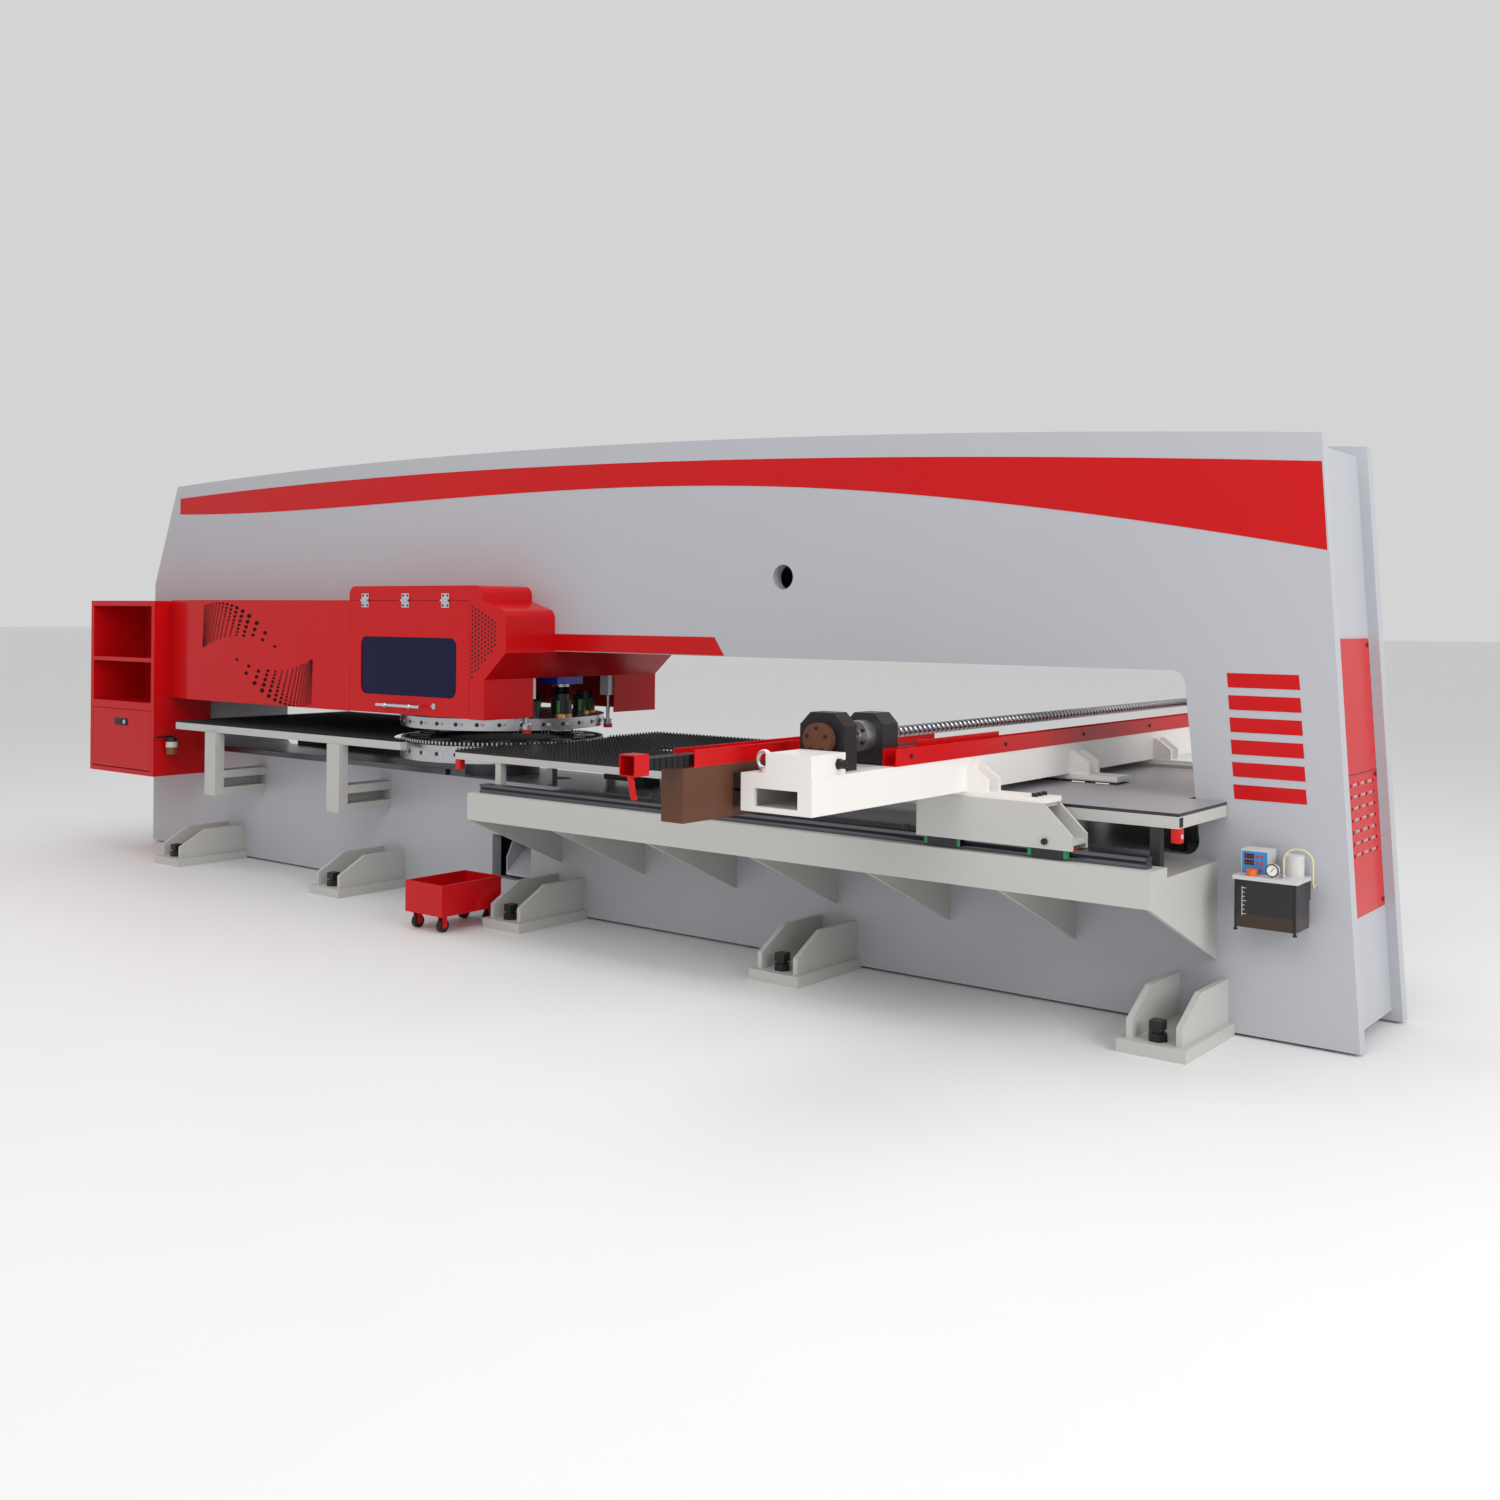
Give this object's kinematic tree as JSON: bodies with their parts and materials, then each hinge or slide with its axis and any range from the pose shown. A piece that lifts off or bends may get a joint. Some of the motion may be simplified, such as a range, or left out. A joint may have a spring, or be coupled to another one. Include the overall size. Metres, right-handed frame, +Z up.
{
  "type": "turret punch press",
  "caption": "Closed-frame sheet-metal punch press with rotating tool turrets, a hooded head, brush tables and a cross beam that carries a clamp carriage through the throat.",
  "frame": {"origin": "on the floor under the middle of the machine's bounding box", "axes": "+X along the frame towards the lubricator end, +Z up, Y = 0 on the middle plane between the side plates"},
  "size_m": [7.62, 4.6, 2.3292],
  "materials": {
    "frame_paint": "satin light grey paint",
    "base_paint": "satin warm grey paint",
    "white_paint": "satin off-white paint",
    "red_paint": "smooth red paint",
    "brown_paint": "satin brown paint",
    "blue_paint": "gloss blue paint",
    "table_grey": "satin mid grey paint",
    "dark_steel": "dark ground steel",
    "bright_steel": "bright ground steel",
    "polished_steel": "polished",
    "black_steel": "black oxide",
    "cast_iron": "machined cast iron",
    "tool_black": "black oxide",
    "brass": "turned brass",
    "aluminium": "anodised",
    "tinted_glass": "tinted clear sheet",
    "brush_black": "black brush bristles",
    "clear_plastic": "clear plastic",
    "tank_plastic": "smoked plastic",
    "lid_plastic": "moulded plastic",
    "yellow_plastic": "nylon hose",
    "orange_plastic": "moulded plastic",
    "red_plastic": "cast polyurethane",
    "black_plastic": "moulded plastic",
    "rubber": "hard rubber"
  },
  "bodies": {
    "machine": {"frame": "frame_paint", "feet": "base_paint", "levelling_bolts": "black_steel", "guide_shelves": "base_paint", "guide_rails": "dark_steel", "brush_tables": "brush_black", "rest_table": "table_grey", "table_frames": "base_paint", "turret_bearings": "cast_iron", "ram_housing": "blue_paint", "hold_down_cylinders": "aluminium", "hoods": "red_paint", "hood_hinges": "polished_steel", "side_panels": "red_paint", "red_trim": "red_paint", "end_cover": "red_paint", "cabinet": "red_paint", "air_filter": "clear_plastic", "lube_tank": "tank_plastic", "lube_lid": "lid_plastic", "lube_hose": "yellow_plastic", "feed_drive": "black_steel"},
    "door": {"hood_door": "red_paint", "door_pane": "tinted_glass", "door_fittings": "polished_steel"},
    "door_lock": {"door_lock": "polished_steel"},
    "flap": {"cabinet_flap": "red_paint"},
    "lever": {"filter_lever": "black_plastic"},
    "oil_cap": {"lube_cap": "orange_plastic"},
    "feed_screw": {"feed_screw": "bright_steel"},
    "beam": {"cross_beam": "white_paint", "saddles": "white_paint", "guide_blocks": "dark_steel", "beam_rails": "dark_steel", "screw_bearings": "black_steel", "screw_motor": "black_steel", "beam_tray": "red_paint", "beam_fittings": "white_paint", "feed_nut": "black_steel"},
    "ball_screw": {"ball_screw": "bright_steel"},
    "carriage": {"carriage": "brown_paint", "carriage_sliders": "dark_steel", "cable_duct": "red_paint", "cable_chain": "black_plastic", "clamp_bodies": "brown_paint", "nut_housing": "black_steel"},
    "jaw_1": {"clamp_jaw_1": "dark_steel"},
    "jaw_2": {"clamp_jaw_2": "dark_steel"},
    "upper_turret": {"upper_turret": "bright_steel", "punch_holders": "tool_black", "tool_rings": "brass"},
    "lower_turret": {"lower_turret": "bright_steel", "dies": "dark_steel"},
    "ram": {"ram": "bright_steel"},
    "hold_downs": {"hold_down_rods": "bright_steel", "hold_down_pads": "red_plastic"},
    "cart": {"slug_cart": "red_paint"},
    "near_wheels": {"cart_wheels_near": "rubber"},
    "far_wheels": {"cart_wheels_far": "rubber"}
  },
  "joints": [
    {"name": "beam_slide", "type": "slide", "parent": "machine", "child": "beam", "axis": [1, 0, 0], "range_m": [-2, 0.2]},
    {"name": "feed_screw_turn", "type": "hinge", "parent": "machine", "child": "feed_screw", "pos_m": [3.09, 0, 0.72], "axis": [1, 0, 0], "continuous": true},
    {"name": "carriage_slide", "type": "slide", "parent": "beam", "child": "carriage", "axis": [0, 1, 0], "range_m": [0, 2.4]},
    {"name": "ball_screw_turn", "type": "hinge", "parent": "beam", "child": "ball_screw", "pos_m": [2.47, 0, 1.09], "axis": [0, 1, 0], "continuous": true},
    {"name": "lower_turret_turn", "type": "hinge", "parent": "machine", "child": "lower_turret", "pos_m": [-0.77, 0, 0.727], "axis": [0, 0, 1], "continuous": true},
    {"name": "upper_turret_turn", "type": "hinge", "parent": "machine", "child": "upper_turret", "pos_m": [-0.77, 0, 0.895], "axis": [0, 0, 1], "continuous": true},
    {"name": "ram_stroke", "type": "slide", "parent": "machine", "child": "ram", "axis": [0, 0, 1], "range_m": [-0.036, 0]},
    {"name": "hold_down_stroke", "type": "slide", "parent": "machine", "child": "hold_downs", "axis": [0, 0, 1], "range_m": [-0.04, 0]},
    {"name": "door_hinge", "type": "hinge", "parent": "machine", "child": "door", "pos_m": [-0.823, -0.6385, 1.555], "axis": [-1, 0, 0], "range_deg": [0, 80]},
    {"name": "lock_turn", "type": "hinge", "parent": "door", "child": "door_lock", "pos_m": [-0.588, -0.631, 1.022], "axis": [0, -1, 0], "range_deg": [0, 90]},
    {"name": "flap_hinge", "type": "hinge", "parent": "machine", "child": "flap", "pos_m": [-3.4475, -0.674, 0.529], "axis": [1, 0, 0], "range_deg": [0, 90]},
    {"name": "lever_turn", "type": "hinge", "parent": "machine", "child": "lever", "pos_m": [-3.039, -0.59, 0.725], "axis": [0, 0, 1], "range_deg": [0, 90]},
    {"name": "cap_turn", "type": "hinge", "parent": "machine", "child": "oil_cap", "pos_m": [3.479, -0.435, 0.604], "axis": [0, 0, 1], "continuous": true},
    {"name": "jaw_1_hinge", "type": "hinge", "parent": "carriage", "child": "jaw_1", "pos_m": [2.204, -1.78, 0.885], "axis": [0, 1, 0], "range_deg": [-2, 8]},
    {"name": "jaw_2_hinge", "type": "hinge", "parent": "carriage", "child": "jaw_2", "pos_m": [2.204, -0.98, 0.885], "axis": [0, 1, 0], "range_deg": [-2, 8]},
    {"name": "cart_roll", "type": "slide", "parent": "machine", "child": "cart", "axis": [0, -1, 0], "range_m": [0, 0.6]},
    {"name": "near_wheels_turn", "type": "hinge", "parent": "cart", "child": "near_wheels", "pos_m": [-0.228, -0.958, 0.03], "axis": [1, 0, 0], "continuous": true},
    {"name": "far_wheels_turn", "type": "hinge", "parent": "cart", "child": "far_wheels", "pos_m": [-0.228, -0.672, 0.03], "axis": [1, 0, 0], "continuous": true}
  ],
  "couplings": [
    {"joint": "feed_screw_turn", "follows": "beam_slide", "rad_per_m": 196.35},
    {"joint": "ball_screw_turn", "follows": "carriage_slide", "rad_per_m": 196.35},
    {"joint": "upper_turret_turn", "follows": "lower_turret_turn", "ratio": 1},
    {"joint": "near_wheels_turn", "follows": "cart_roll", "rad_per_m": 33.333},
    {"joint": "far_wheels_turn", "follows": "cart_roll", "rad_per_m": 33.333}
  ]
}
